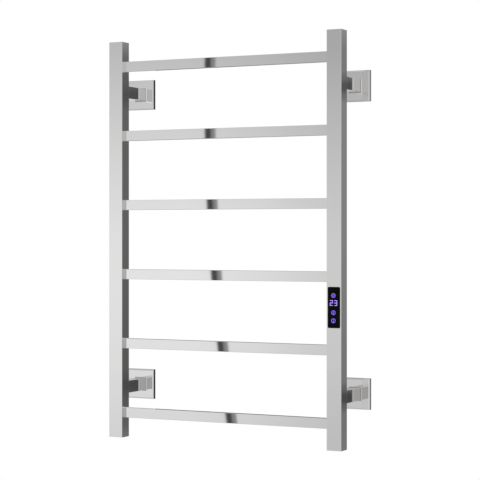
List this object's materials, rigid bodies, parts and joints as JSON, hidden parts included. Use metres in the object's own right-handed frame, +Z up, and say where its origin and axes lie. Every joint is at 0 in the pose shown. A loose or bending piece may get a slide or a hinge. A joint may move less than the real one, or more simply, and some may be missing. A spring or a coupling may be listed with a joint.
{
  "type": "towel warmer rack",
  "caption": "Electric towel warmer: flat tube rungs between two square-ended uprights on square wall brackets, with a touch control panel.",
  "frame": {"origin": "centre of the wall screw pattern, on the wall plane", "axes": "+Z up along the uprights, +X to the right seen from the room, -Y out of the wall towards the room"},
  "size_m": [0.5436, 0.1104, 0.8],
  "materials": {
    "frame_steel": "polished stainless steel",
    "bracket_steel": "mirror-polished stainless steel",
    "flange_steel": "zinc-plated steel",
    "fastener_steel": "stainless steel",
    "spring_steel": "bright wire",
    "panel_glass": "glossy black panel",
    "black_rubber": "matt",
    "black_plastic": "moulded",
    "white_plastic": "moulded",
    "circuit_board": "solder mask",
    "red_silicone": "silicone jacket",
    "white_silicone": "silicone jacket",
    "lead_insulation": "insulation",
    "earth_insulation": "green and yellow insulation",
    "fuse_case": "bare",
    "tinned_brass": "tinned"
  },
  "bodies": {
    "wall_flanges": {"upper_left_wall_flange": "flange_steel", "upper_right_wall_flange": "flange_steel", "lower_left_wall_flange": "flange_steel", "lower_right_wall_flange": "flange_steel"},
    "upper_left_rosette": {"upper_left_rosette": "bracket_steel"},
    "upper_right_rosette": {"upper_right_rosette": "bracket_steel"},
    "lower_left_rosette": {"lower_left_rosette": "bracket_steel"},
    "lower_right_rosette": {"lower_right_rosette": "bracket_steel"},
    "rack": {"board_screws": "fastener_steel", "control_board": "circuit_board", "control_gasket": "black_rubber", "control_glass": "panel_glass", "control_housing": "black_plastic", "digit_display": "black_plastic", "earth_lead": "earth_insulation", "earth_lug": "tinned_brass", "earth_nut": "fastener_steel", "earth_screw": "fastener_steel", "grub_screws": "fastener_steel", "heater_leads": "white_silicone", "heating_cable": "red_silicone", "inlet_grommet": "black_rubber", "lead_headers": "black_plastic", "left_upright": "frame_steel", "lower_left_end_cap": "frame_steel", "lower_left_standoff": "bracket_steel", "lower_right_end_cap": "frame_steel", "lower_right_standoff": "bracket_steel", "power_triac": "black_plastic", "right_upright": "frame_steel", "rung_1": "frame_steel", "rung_2": "frame_steel", "rung_3": "frame_steel", "rung_4": "frame_steel", "rung_5": "frame_steel", "rung_6": "frame_steel", "sensor_lead": "lead_insulation", "splice_sleeves": "white_silicone", "standoff_bolts": "fastener_steel", "supply_leads": "lead_insulation", "temperature_sensor": "fuse_case", "terminal_block": "white_plastic", "terminal_screws": "fastener_steel", "thermal_fuse": "fuse_case", "touch_springs": "spring_steel", "upper_left_end_cap": "frame_steel", "upper_left_standoff": "bracket_steel", "upper_right_end_cap": "frame_steel", "upper_right_standoff": "bracket_steel", "weld_nuts": "fastener_steel"}
  },
  "joints": [
    {"name": "wall_distance", "type": "slide", "parent": "wall_flanges", "child": "rack", "axis": [0, -1, 0], "range_m": [0, 0.015]},
    {"name": "upper_left_rosette_slide", "type": "slide", "parent": "wall_flanges", "child": "upper_left_rosette", "axis": [0, -1, 0], "range_m": [0, 0.0715]},
    {"name": "upper_right_rosette_slide", "type": "slide", "parent": "wall_flanges", "child": "upper_right_rosette", "axis": [0, -1, 0], "range_m": [0, 0.0715]},
    {"name": "lower_left_rosette_slide", "type": "slide", "parent": "wall_flanges", "child": "lower_left_rosette", "axis": [0, -1, 0], "range_m": [0, 0.0715]},
    {"name": "lower_right_rosette_slide", "type": "slide", "parent": "wall_flanges", "child": "lower_right_rosette", "axis": [0, -1, 0], "range_m": [0, 0.0715]}
  ]
}
